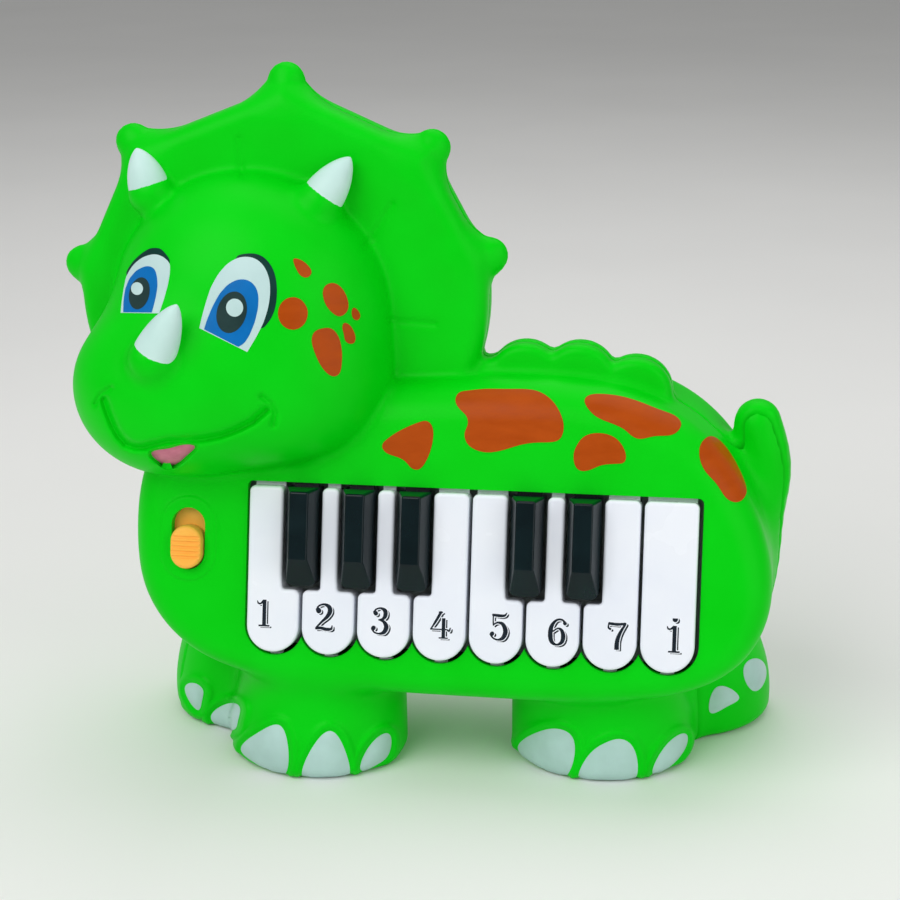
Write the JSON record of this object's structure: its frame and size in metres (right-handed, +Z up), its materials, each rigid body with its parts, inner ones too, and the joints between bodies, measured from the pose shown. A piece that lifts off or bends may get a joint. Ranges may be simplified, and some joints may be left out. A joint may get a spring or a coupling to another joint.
{
  "type": "toy piano",
  "caption": "Dinosaur-shaped toy piano with a short row of sprung keys in its flank, a slide switch, a speaker and a cell bay behind.",
  "frame": {"origin": "middle of the toy from above, on the plane of its soles", "axes": "+X along the row of keys from low to high, -Y out of the keys towards the player, +Z up"},
  "size_m": [0.2037, 0.0962, 0.1932],
  "materials": {
    "green_plastic": "moulded satin-gloss, painted eyes, spots, horns and nails",
    "white_plastic": "moulded gloss with printed numbers",
    "black_plastic": "moulded gloss",
    "orange_plastic": "moulded gloss",
    "grey_plastic": "moulded",
    "grey_rubber": "moulded silicone",
    "board": "laminate with solder mask",
    "black_resin": "cast resin",
    "bright_metal": "drawn can",
    "steel": "zinc plated",
    "switch_metal": "pressed sheet",
    "speaker_metal": "pressed, dark paint",
    "speaker_paper": "pressed paper"
  },
  "bodies": {
    "housing": {"front_shell": "green_plastic", "rear_shell": "green_plastic", "key_frame": "grey_plastic", "dome_sheet": "grey_rubber", "sound_board": "board", "sound_chip": "black_resin", "board_capacitor": "bright_metal", "frame_screws": "steel", "slide_switch": "switch_metal", "switch_board": "board", "switch_screws": "steel", "speaker_basket": "speaker_metal", "speaker_cone": "speaker_paper", "speaker_magnet": "speaker_metal", "speaker_screws": "steel", "battery_cells": "bright_metal", "contact_plates": "steel", "contact_springs": "steel", "shell_screws": "steel"},
    "white_key_1": {"white_key_1": "white_plastic"},
    "white_key_2": {"white_key_2": "white_plastic"},
    "white_key_3": {"white_key_3": "white_plastic"},
    "white_key_4": {"white_key_4": "white_plastic"},
    "white_key_5": {"white_key_5": "white_plastic"},
    "white_key_6": {"white_key_6": "white_plastic"},
    "white_key_7": {"white_key_7": "white_plastic"},
    "white_key_8": {"white_key_8": "white_plastic"},
    "black_key_1": {"black_key_1": "black_plastic"},
    "black_key_2": {"black_key_2": "black_plastic"},
    "black_key_3": {"black_key_3": "black_plastic"},
    "black_key_4": {"black_key_4": "black_plastic"},
    "black_key_5": {"black_key_5": "black_plastic"},
    "switch_knob": {"switch_knob": "orange_plastic", "switch_lever": "black_resin"},
    "battery_cover": {"battery_cover": "green_plastic", "cover_screws": "steel"}
  },
  "joints": [
    {"name": "white_key_1_press", "type": "hinge", "parent": "housing", "child": "white_key_1", "pos_m": [-0.03692, -0.0139, 0.08704], "axis": [1, 0, 0], "range_deg": [0, 3.5], "stiffness_Nm_per_rad": 0.7, "springref_deg": -1.15, "deforming": ["dome_sheet"]},
    {"name": "white_key_2_press", "type": "hinge", "parent": "housing", "child": "white_key_2", "pos_m": [-0.02162, -0.0139, 0.08704], "axis": [1, 0, 0], "range_deg": [0, 3.5], "stiffness_Nm_per_rad": 0.7, "springref_deg": -1.15, "deforming": ["dome_sheet"]},
    {"name": "white_key_3_press", "type": "hinge", "parent": "housing", "child": "white_key_3", "pos_m": [-0.00632, -0.0139, 0.08704], "axis": [1, 0, 0], "range_deg": [0, 3.5], "stiffness_Nm_per_rad": 0.7, "springref_deg": -1.15, "deforming": ["dome_sheet"]},
    {"name": "white_key_4_press", "type": "hinge", "parent": "housing", "child": "white_key_4", "pos_m": [0.00898, -0.0139, 0.08704], "axis": [1, 0, 0], "range_deg": [0, 3.5], "stiffness_Nm_per_rad": 0.7, "springref_deg": -1.15, "deforming": ["dome_sheet"]},
    {"name": "white_key_5_press", "type": "hinge", "parent": "housing", "child": "white_key_5", "pos_m": [0.02428, -0.0139, 0.08704], "axis": [1, 0, 0], "range_deg": [0, 3.5], "stiffness_Nm_per_rad": 0.7, "springref_deg": -1.15, "deforming": ["dome_sheet"]},
    {"name": "white_key_6_press", "type": "hinge", "parent": "housing", "child": "white_key_6", "pos_m": [0.03958, -0.0139, 0.08704], "axis": [1, 0, 0], "range_deg": [0, 3.5], "stiffness_Nm_per_rad": 0.7, "springref_deg": -1.15, "deforming": ["dome_sheet"]},
    {"name": "white_key_7_press", "type": "hinge", "parent": "housing", "child": "white_key_7", "pos_m": [0.05488, -0.0139, 0.08704], "axis": [1, 0, 0], "range_deg": [0, 3.5], "stiffness_Nm_per_rad": 0.7, "springref_deg": -1.15, "deforming": ["dome_sheet"]},
    {"name": "white_key_8_press", "type": "hinge", "parent": "housing", "child": "white_key_8", "pos_m": [0.07018, -0.0139, 0.08704], "axis": [1, 0, 0], "range_deg": [0, 3.5], "stiffness_Nm_per_rad": 0.7, "springref_deg": -1.15, "deforming": ["dome_sheet"]},
    {"name": "black_key_1_press", "type": "hinge", "parent": "housing", "child": "black_key_1", "pos_m": [-0.02927, -0.0139, 0.08704], "axis": [1, 0, 0], "range_deg": [0, 3.5], "stiffness_Nm_per_rad": 0.7, "springref_deg": -1.15, "deforming": ["dome_sheet"]},
    {"name": "black_key_2_press", "type": "hinge", "parent": "housing", "child": "black_key_2", "pos_m": [-0.01397, -0.0139, 0.08704], "axis": [1, 0, 0], "range_deg": [0, 3.5], "stiffness_Nm_per_rad": 0.7, "springref_deg": -1.15, "deforming": ["dome_sheet"]},
    {"name": "black_key_3_press", "type": "hinge", "parent": "housing", "child": "black_key_3", "pos_m": [0.00133, -0.0139, 0.08704], "axis": [1, 0, 0], "range_deg": [0, 3.5], "stiffness_Nm_per_rad": 0.7, "springref_deg": -1.15, "deforming": ["dome_sheet"]},
    {"name": "black_key_4_press", "type": "hinge", "parent": "housing", "child": "black_key_4", "pos_m": [0.03193, -0.0139, 0.08704], "axis": [1, 0, 0], "range_deg": [0, 3.5], "stiffness_Nm_per_rad": 0.7, "springref_deg": -1.15, "deforming": ["dome_sheet"]},
    {"name": "black_key_5_press", "type": "hinge", "parent": "housing", "child": "black_key_5", "pos_m": [0.04723, -0.0139, 0.08704], "axis": [1, 0, 0], "range_deg": [0, 3.5], "stiffness_Nm_per_rad": 0.7, "springref_deg": -1.15, "deforming": ["dome_sheet"]},
    {"name": "power_switch_slide", "type": "slide", "parent": "housing", "child": "switch_knob", "axis": [0, 0.2588, 0.9659], "range_m": [0, 0.0044]},
    {"name": "battery_cover_lift", "type": "slide", "parent": "housing", "child": "battery_cover", "axis": [0, 1, 0], "range_m": [0, 0.03]}
  ]
}
